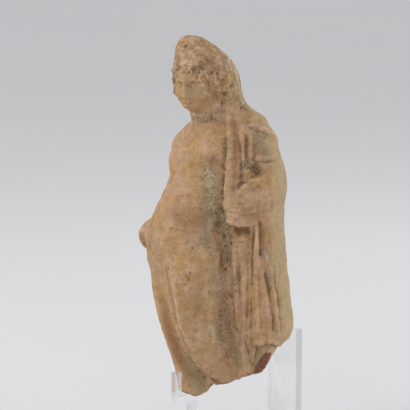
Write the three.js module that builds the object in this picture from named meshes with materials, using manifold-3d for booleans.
// A mould-made terracotta figurine of a nude, plump youth with a peaked headdress and a cloak, broken off at
// the shins, held up by a small clear acrylic easel. Sizes are millimetres, +Z is up, the figure faces -Y and
// its own left is +X. The origin is the middle of the easel's footprint, on the table.
import * as THREE from "three";
import { mergeVertices } from "three/addons/utils/BufferGeometryUtils.js";
import Module from "manifold-3d";

// Where the figure stands: its own coordinates start on the ledge, below the middle of the torso.
const FIGURE_X = -3;
const FIGURE_Y = -3;
const LEDGE_TOP = 22;
const REST_GAP = 0.3;
const FOOT_DROP = 0.3; // the broken edge over the ledge lies this far below the figure's own zero

// The easel of welded sheets. Places are the figure's own coordinates, heights are above the ledge.
const BASE_HALF_WIDTH = 23;
const BASE_HALF_DEPTH = 25;
const BASE_THICKNESS = 4;
const LEDGE = { left: -8.4, right: -6.4, front: -11.2, back: -3, thickness: 3.4 };
const LIP_HEIGHT = 9.5;
const BACK_REST = { left: 9.4, right: 22.9, front: 19.4, thickness: 3.4, height: 24.3 };

// Spacing of the faceted skin, finer in the front and in the head
const CELL_ACROSS = 1.8;
const CELL_FRONT = 1.5;
const CELL_BACK = 3.4;
const SLICE_HEAD = 1.5;
const SLICE_BODY = 3.6;
const FRONT_ENDS = 4;
const HEAD_STARTS = 98;
const CHAIN_STEPS = 5; // straight pieces between two joints of a curved limb

const v = (x, y, z) => new THREE.Vector3(x, y, z);
const clamp01 = (t) => Math.min(1, Math.max(0, t));
const ease = (t) => clamp01(t) ** 2 * (3 - 2 * clamp01(t));

// Distance fields: each gives the distance from a point to a form, negative inside it.

// A tapered limb with round ends
function limb(from, to, startRadius, endRadius = startRadius) {
  const axis = to.clone().sub(from);
  const lengthSquared = axis.lengthSq();
  return (x, y, z) => {
    const dx = x - from.x;
    const dy = y - from.y;
    const dz = z - from.z;
    const t = clamp01((dx * axis.x + dy * axis.y + dz * axis.z) / lengthSquared);
    const radius = startRadius + (endRadius - startRadius) * t;
    return Math.hypot(dx - axis.x * t, dy - axis.y * t, dz - axis.z * t) - radius;
  };
}

// A limb that curves smoothly through several joints, each joint given as [x, y, z, radius]
function chain(...joints) {
  const centres = new THREE.CatmullRomCurve3(joints.map(([x, y, z]) => v(x, y, z)));
  const radii = new THREE.CatmullRomCurve3(joints.map((joint) => v(joint[3], 0, 0)));
  const count = CHAIN_STEPS * (joints.length - 1);
  const parts = Array.from({ length: count }, (_, i) => {
    const [start, end] = [i / count, (i + 1) / count];
    const width = (t) => radii.getPoint(t).x;
    return limb(centres.getPoint(start), centres.getPoint(end), width(start), width(end));
  });
  return (x, y, z) => Math.min(...parts.map((part) => part(x, y, z)));
}

// An ellipsoid, turned by degrees about X, then Y, then Z
function egg(centre, radii, turn = [0, 0, 0]) {
  const angles = turn.map(THREE.MathUtils.degToRad);
  const turned = new THREE.Matrix4().makeRotationFromEuler(new THREE.Euler(...angles, "ZYX"));
  const m = turned.transpose().elements;
  return (x, y, z) => {
    const dx = x - centre[0];
    const dy = y - centre[1];
    const dz = z - centre[2];
    const lx = (m[0] * dx + m[4] * dy + m[8] * dz) / radii[0];
    const ly = (m[1] * dx + m[5] * dy + m[9] * dz) / radii[1];
    const lz = (m[2] * dx + m[6] * dy + m[10] * dz) / radii[2];
    const reach = Math.hypot(lx, ly, lz);
    const steepness = Math.hypot(lx / radii[0], ly / radii[1], lz / radii[2]);
    return steepness < 1e-9 ? -Math.min(...radii) : (reach * (reach - 1)) / steepness;
  };
}

// A form lofted through level sections, each given as [height, centre x, centre y, half width, half depth].
// The squareness is 2 for ellipses and more for boxier outlines; the two ends are rounded.
function loft(squareness, endRound, ...sections) {
  const low = sections[0][0];
  const high = sections.at(-1)[0];
  const sectionAt = (z) => {
    const height = Math.min(high, Math.max(low, z));
    let i = 0;
    while (i < sections.length - 2 && height > sections[i + 1][0]) i++;
    const [a, b] = [sections[i], sections[i + 1]];
    const before = sections[Math.max(i - 1, 0)];
    const after = sections[Math.min(i + 2, sections.length - 1)];
    const run = b[0] - a[0];
    const t = (height - a[0]) / run;
    const toward = (p, q, n) => ((q[n] - p[n]) / (q[0] - p[0])) * run;
    return [1, 2, 3, 4].map((n) => {
      const level = (2 * t ** 3 - 3 * t ** 2 + 1) * a[n] + (3 * t ** 2 - 2 * t ** 3) * b[n];
      const leave = (t ** 3 - 2 * t ** 2 + t) * toward(before, b, n);
      const arrive = (t ** 3 - t ** 2) * toward(a, after, n);
      return level + leave + arrive;
    });
  };
  return (x, y, z) => {
    const [cx, cy, halfWidth, halfDepth] = sectionAt(z);
    const qx = Math.abs(x - cx) / halfWidth;
    const qy = Math.abs(y - cy) / halfDepth;
    const q = (qx ** squareness + qy ** squareness) ** (1 / squareness);
    const side = q < 1e-6 ? -Math.min(halfWidth, halfDepth) : Math.hypot(x - cx, y - cy) * (1 - 1 / q);
    const end = Math.max(low - z, z - high);
    const over = Math.hypot(Math.max(side + endRound, 0), Math.max(end + endRound, 0));
    return over + Math.min(Math.max(side, end) + endRound, 0) - endRound;
  };
}

// Joins two distances with a soft seam of the given width.
function soft(a, b, width) {
  const h = Math.max(width - Math.abs(a - b), 0) / width;
  return Math.min(a, b) - h * h * width * 0.25;
}

// Presses forms together one after another with a soft seam.
function pressed(width, ...forms) {
  return (x, y, z) => forms.reduce((d, form) => soft(d, form(x, y, z), width), 1e3);
}

// Takes forms out of a body with a soft edge.
function scooped(width, body, ...tools) {
  return (x, y, z) => tools.reduce((d, tool) => -soft(-d, tool(x, y, z), width), body(x, y, z));
}

// The nude body: the hips are pushed out over the right leg, the belly is full, and the left knee is bent.
const trunk = loft(
  2.1,
  5,
  [44, -6.5, -7.5, 13, 10.5],
  [52, -7, -8.5, 14.6, 12],
  [60, -6.5, -9, 14.2, 13],
  [68, -5, -8.5, 13.3, 12.3],
  [76, -3, -6.5, 12.8, 10.8],
  [84, -0.5, -4.2, 13.4, 10.6],
  [91, 0.5, -2.6, 14, 10.2],
  [98, 2, -2, 11.5, 9],
  [103, 2.5, -2, 7, 7],
);
const chest = pressed(
  3,
  egg([-6, -10.5, 87.5], [6.5, 4, 6]),
  egg([6, -9.8, 88.5], [6.5, 4, 6]),
);
const shoulders = chain([-13.2, 1, 91, 6], [-7, -0.6, 95.8, 5.8], [2, -1, 97, 6], [12.4, 2, 97, 7]);
const neck = chain([1, -1, 96, 7.2], [0, -5, 108, 6]);
const rightLeg = chain(
  [-11.8, -8, 50, 9.8],
  [-11.3, -8, 36, 8.8],
  [-10, -7, 24, 7.3],
  [-8, -4.6, 12, 6.4],
  [-6.6, -3.2, -6, 5.6],
);
const leftLeg = chain(
  [0, -10.5, 54, 10.3],
  [0, -12, 46.5, 9.9],
  [0.8, -11.8, 37.3, 9],
  [1.6, -11, 27, 7.9],
  [3, -8.4, 20.2, 7.1],
  [4.2, -5, 14, 6.3],
  [5.6, -1.9, 8.4, 5],
  [6.8, 1, 0, 4.6],
);
const rightArm = chain(
  [-15, 2, 90, 5.8],
  [-18, 3.5, 82, 5],
  [-21, 3.5, 71, 4.8],
  [-22.4, -4.5, 62.5, 4],
  [-23.4, -9.6, 57.7, 4],
);
const rightFist = egg([-23, -9.3, 57.8], [3.9, 4.7, 4.7], [0, 0, 10]);
const body = pressed(3, trunk, chest, shoulders, neck, rightLeg, leftLeg, rightArm, rightFist);

// The head is turned a little to the figure's left, under thick hair that rises to a blunt peak in front.
const HEAD_TURN = 12;
const face = egg([-1.2, -9, 115.4], [7.8, 8.6, 9.4], [8, 0, HEAD_TURN]);
const nose = limb(v(0.6, -16.4, 118.6), v(0.6, -16.5, 114.8), 1.1, 1.7);
const chin = egg([-0.1, -13.4, 108.6], [3, 2.6, 2.2]);
const lips = egg([0.2, -15.8, 111.6], [2.4, 1.5, 1]);
const eyeHollows = [-2.9, 3.5].map((across) => egg([across, -18.6, 117.2], [2.3, 1.8, 1.5]));
const faceOpening = egg([0.7, -19, 113.6], [7.4, 6.2, 8.2], [0, 0, HEAD_TURN]);
const hair = egg([-0.9, -6.5, 117.3], [10.3, 10.8, 9.8], [0, 0, HEAD_TURN]);
const peak = chain([-0.8, -6.8, 120, 9.4], [-3, -8, 125.4, 6.6], [-4.5, -9, 128, 4.5]);
const veil = loft(
  2.1,
  6,
  [90, 5, 4.5, 13, 10],
  [100, 5.5, 4, 12, 9],
  [106, 4, 1, 9.6, 8.6],
  [110.5, 2.8, -1.4, 8.8, 8.4],
  [117.5, 1.8, -3, 9.2, 9.2],
  [128, 0, -4.6, 6.5, 7],
);
const features = pressed(1.2, scooped(1.2, face, ...eyeHollows), nose, chin, lips);
const hairMass = scooped(1.4, pressed(2.2, hair, peak), faceOpening);
const head = pressed(2.4, veil, pressed(1.2, features, hairMass));

// The cloak: a plain rounded back, the cloth over the left shoulder and forearm, and the hanging folds.
const back = loft(
  2.5,
  4,
  [21.3, 5.3, 7, 22.3, 12.2],
  [28, 5.3, 7.2, 22.7, 12.6],
  [38, 4.8, 7, 21.9, 12.3],
  [58, 3.7, 6.5, 20.9, 12],
  [78, 3.1, 6, 20.3, 12],
  [90, 3, 5.2, 18.4, 10.8],
  [97, 5, 4.6, 14, 9],
  [103, 6, 4, 9, 7],
);
const below = loft(2.5, 4, [-8, 2.5, 6, 17, 9.5], [8, 3, 6, 18.5, 10], [26, 3.5, 6.5, 19.5, 10.8]);
const leftArm = chain(
  [12.6, 4, 98.5, 7.4],
  [16.5, 6, 88, 7.2],
  [18, 7, 78, 7],
  [17, -1.5, 73, 6.2],
  [16, -4.3, 71.5, 5.6],
);
const lapel = chain(
  [9.6, 1, 103, 4],
  [12, -4.4, 95, 3.2],
  [13.6, -6.4, 86, 3],
  [14.2, -6.8, 76, 3],
);
const frontFold = chain(
  [16.4, -2.6, 62, 1.6],
  [16.4, -2.4, 40, 2.2],
  [16, -2.2, 18, 2.6],
  [15.2, -2, -2, 3],
);

// Vertical grooves between the hanging folds, each given as
// [degrees round from the front, half width in degrees, depth, lowest height, highest height].
const FOLD_AXIS = [4, 7];
const FOLD_FADE = 8; // height over which a groove runs out
const GROOVES = [
  [58, 4.5, 1.5, 14, 68],
  [74, 5, 2, 12, 56],
  [85, 5, 1.5, 12, 62],
];
function folded(form) {
  return (x, y, z) => {
    const round = THREE.MathUtils.radToDeg(Math.atan2(x - FOLD_AXIS[0], FOLD_AXIS[1] - y));
    const carved = GROOVES.map(([at, halfWidth, depth, low, high]) => {
      const across = Math.exp(-(((round - at) / halfWidth) ** 2));
      return across * depth * ease((z - low) / FOLD_FADE) * ease((high - z) / FOLD_FADE);
    });
    return form(x, y, z) + Math.max(...carved);
  };
}
const cloak = pressed(1.6, pressed(4, folded(back), leftArm), lapel, frontFold);

// The clay that half fills the valley between the left leg and the folds
const valley = chain(
  [8.4, -5.6, 50, 2],
  [9.3, -4.9, 44, 2.4],
  [9.6, -3.9, 35.8, 2.7],
  [10.2, -2.9, 22.8, 2.7],
  [11, -1.8, 16, 2.4],
  [11.8, -1.2, 8, 2],
);

// Deep hollows: between the belly and the hand, and between the lapel and the upper arm
const bellyGroove = chain([7.4, -8.2, 63.5, 1.5], [8.2, -6.6, 54.5, 1.8], [10.2, -7.4, 47.5, 1.6]);
const armpit = limb(v(18.9, -3.4, 87), v(21, -2.2, 85), 1.8, 1.8);
const draped = pressed(2, pressed(2.2, body, below), cloak, head);
const whole = scooped(1.2, pressed(2.6, draped, valley), bellyGroove, armpit);

// The break: nothing is left below an uneven surface that rises in steps towards the back left corner,
// and a small part of the inside shows there. Its profile is given as [way to that corner, height].
const moldHollow = egg([6, 6.5, 4], [6.2, 4.6, 9]);
const BREAK = [
  [-5.6, 0],
  [-4.4, 1.1],
  [-2.2, 2.2],
  [-0.7, 4.6],
  [1, 5.7],
  [2.5, 5.8],
  [4, 5.7],
  [5.5, 6.3],
  [8, 8.2],
  [11.3, 9.8],
  [13.5, 10.2],
  [17, 10.2],
  [18.5, 12.6],
  [20, 15.6],
  [22.9, 18.7],
  [24.5, 19.4],
];
function brokenSurface(x, y) {
  const cornerward = 0.74 * x + 0.67 * y;
  const next = BREAK.findIndex(([way]) => way > cornerward);
  const [from, to] = [BREAK.at(Math.max(next - 1, -1)), BREAK.at(next)];
  const steps = next > 0 ? from[1] + ((to[1] - from[1]) * (cornerward - from[0])) / (to[0] - from[0]) : to[1];
  const rough = 0.5 * Math.sin(0.7 * x + 0.4) * Math.sin(0.8 * y) * ease((x + 6.4) / 4);
  const hanging = 0.9 * ease((x + 6) / 2) * ease(1 - (cornerward + 3) / 3); // beside the ledge
  return steps + rough - hanging - 0.3;
}
const broken = (x, y, z) => Math.max(whole(x, y, z), brokenSurface(x, y) - z);
const figure = scooped(0.8, broken, moldHollow);

// A closed faceted skin over a field, on a grid whose lines may differ in spacing: one point is set in each
// cell that the surface crosses, and one quad across each grid edge that it crosses.
function skin(field, xs, ys, zs) {
  const [nx, ny, nz] = [xs.length, ys.length, zs.length];
  const at = (i, j, k) => i + nx * (j + ny * k);
  const values = new Float64Array(nx * ny * nz);
  for (let k = 0; k < nz; k++) {
    for (let j = 0; j < ny; j++) {
      for (let i = 0; i < nx; i++) values[at(i, j, k)] = field(xs[i], ys[j], zs[k]);
    }
  }
  const inside = (i, j, k) => values[at(i, j, k)] < 0;
  const corners = [0, 1].flatMap((k) => [0, 1].flatMap((j) => [0, 1].map((i) => [i, j, k])));
  const isEdge = (a, b) => a.reduce((sum, c, axis) => sum + Math.abs(c - b[axis]), 0) === 1;
  const edges = corners.flatMap((a, m) =>
    corners.slice(m + 1).flatMap((b) => (isEdge(a, b) ? [[a, b]] : [])),
  );
  const slope = (p) => {
    const h = 0.05;
    return v(
      field(p.x + h, p.y, p.z) - field(p.x - h, p.y, p.z),
      field(p.x, p.y + h, p.z) - field(p.x, p.y - h, p.z),
      field(p.x, p.y, p.z + h) - field(p.x, p.y, p.z - h),
    ).divideScalar(2 * h);
  };

  // The point of a cell starts between the crossings of its edges and slides onto the surface.
  const points = [];
  const pointOfCell = new Map();
  const pointOf = (i, j, k) => {
    const cell = at(i, j, k);
    if (pointOfCell.has(cell)) return pointOfCell.get(cell);
    const crossings = edges.flatMap(([a, b]) => {
      const fa = values[at(i + a[0], j + a[1], k + a[2])];
      const fb = values[at(i + b[0], j + b[1], k + b[2])];
      if (fa < 0 === fb < 0) return [];
      const pa = v(xs[i + a[0]], ys[j + a[1]], zs[k + a[2]]);
      const pb = v(xs[i + b[0]], ys[j + b[1]], zs[k + b[2]]);
      return [pa.lerp(pb, fa / (fa - fb))];
    });
    const point = crossings.reduce((sum, p) => sum.add(p), v(0, 0, 0)).divideScalar(crossings.length);
    const low = v(xs[i], ys[j], zs[k]);
    const high = v(xs[i + 1], ys[j + 1], zs[k + 1]);
    for (let step = 0; step < 4; step++) {
      const g = slope(point);
      const distance = field(point.x, point.y, point.z);
      point.addScaledVector(g, -distance / Math.max(g.lengthSq(), 0.3)).clamp(low, high);
    }
    pointOfCell.set(cell, points.length);
    points.push(point);
    return pointOfCell.get(cell);
  };

  const directions = [[1, 0, 0], [0, 1, 0], [0, 0, 1]];
  const cellsAround = [
    [[0, 0, 0], [0, -1, 0], [0, -1, -1], [0, 0, -1]],
    [[0, 0, 0], [0, 0, -1], [-1, 0, -1], [-1, 0, 0]],
    [[0, 0, 0], [-1, 0, 0], [-1, -1, 0], [0, -1, 0]],
  ];
  const index = [];
  const addQuads = (i, j, k) => {
    directions.forEach((step, axis) => {
      const here = inside(i, j, k);
      if (here === inside(i + step[0], j + step[1], k + step[2])) return;
      const quad = cellsAround[axis].map((c) => pointOf(i + c[0], j + c[1], k + c[2]));
      const [a, b, c, d] = here ? quad : quad.reverse();
      const shorter = points[a].distanceTo(points[c]) < points[b].distanceTo(points[d]);
      if (shorter) index.push(a, b, c, a, c, d);
      else index.push(a, b, d, b, c, d);
    });
  };
  for (let k = 1; k < nz - 1; k++) {
    for (let j = 1; j < ny - 1; j++) {
      for (let i = 1; i < nx - 1; i++) addQuads(i, j, k);
    }
  }
  return new THREE.BufferGeometry().setFromPoints(points).setIndex(index);
}

// Grid lines from low to high at a spacing that may change along the way.
function lines(low, high, spacing) {
  const made = [low];
  while (made.at(-1) < high) made.push(made.at(-1) + spacing(made.at(-1)));
  return made;
}
const figureGeometry = skin(
  figure,
  lines(-32, 34, () => CELL_ACROSS),
  lines(-28, 24, (y) => (y < FRONT_ENDS ? CELL_FRONT : CELL_BACK)),
  lines(-6, 140, (z) => (z > HEAD_STARTS ? SLICE_HEAD : SLICE_BODY)),
);

// The easel: a base plate, a narrow post with the ledge and its lip, and a taller back rest, all welded.
const wasm = await Module();
wasm.setup();
function sheet([left, right], [front, rear], [bottom, top]) {
  const box = new THREE.BoxGeometry(right - left, rear - front, top - bottom);
  box.translate((left + right) / 2, (front + rear) / 2, (bottom + top) / 2);
  box.deleteAttribute("normal");
  box.deleteAttribute("uv");
  const merged = mergeVertices(box);
  return new wasm.Manifold(
    new wasm.Mesh({
      numProp: 3,
      vertProperties: merged.attributes.position.array,
      triVerts: new Uint32Array(merged.index.array),
    }),
  );
}
const onBase = BASE_THICKNESS / 2; // the uprights run down into the base
const ledgeAcross = [FIGURE_X + LEDGE.left, FIGURE_X + LEDGE.right];
const ledgeFront = FIGURE_Y + LEDGE.front;
const ledgeBack = FIGURE_Y + LEDGE.back;
const restFront = FIGURE_Y + BACK_REST.front;
const base = sheet(
  [-BASE_HALF_WIDTH, BASE_HALF_WIDTH],
  [-BASE_HALF_DEPTH, BASE_HALF_DEPTH],
  [0, BASE_THICKNESS],
);
const lip = sheet(
  ledgeAcross,
  [ledgeFront - LEDGE.thickness, ledgeFront],
  [LEDGE_TOP - LEDGE.thickness, LEDGE_TOP + LIP_HEIGHT],
);
const ledge = sheet(
  ledgeAcross,
  [ledgeFront - LEDGE.thickness / 2, ledgeBack],
  [LEDGE_TOP - LEDGE.thickness, LEDGE_TOP],
);
const post = sheet(
  ledgeAcross,
  [ledgeBack - LEDGE.thickness, ledgeBack],
  [onBase, LEDGE_TOP - LEDGE.thickness / 2],
);
const backRest = sheet(
  [FIGURE_X + BACK_REST.left, FIGURE_X + BACK_REST.right],
  [restFront, restFront + BACK_REST.thickness],
  [onBase, LEDGE_TOP + BACK_REST.height],
);
const welded = base.add(post).add(ledge).add(lip).add(backRest).getMesh();
const easelGeometry = new THREE.BufferGeometry()
  .setAttribute("position", new THREE.BufferAttribute(welded.vertProperties, 3))
  .setIndex(new THREE.BufferAttribute(welded.triVerts, 1));

const clay = new THREE.MeshStandardMaterial({ color: 0xa9825f, roughness: 0.95, metalness: 0 });
const acrylic = new THREE.MeshStandardMaterial({
  color: 0xeef2f3,
  roughness: 0.05,
  metalness: 0,
  transparent: true,
  opacity: 0.3,
});

const group = new THREE.Group();
const figurine = new THREE.Mesh(figureGeometry, clay);
figurine.name = "figurine";
figurine.position.set(FIGURE_X, FIGURE_Y, LEDGE_TOP + REST_GAP + FOOT_DROP);
const easel = new THREE.Mesh(easelGeometry, acrylic);
easel.name = "easel";
group.add(figurine, easel);

export default group;
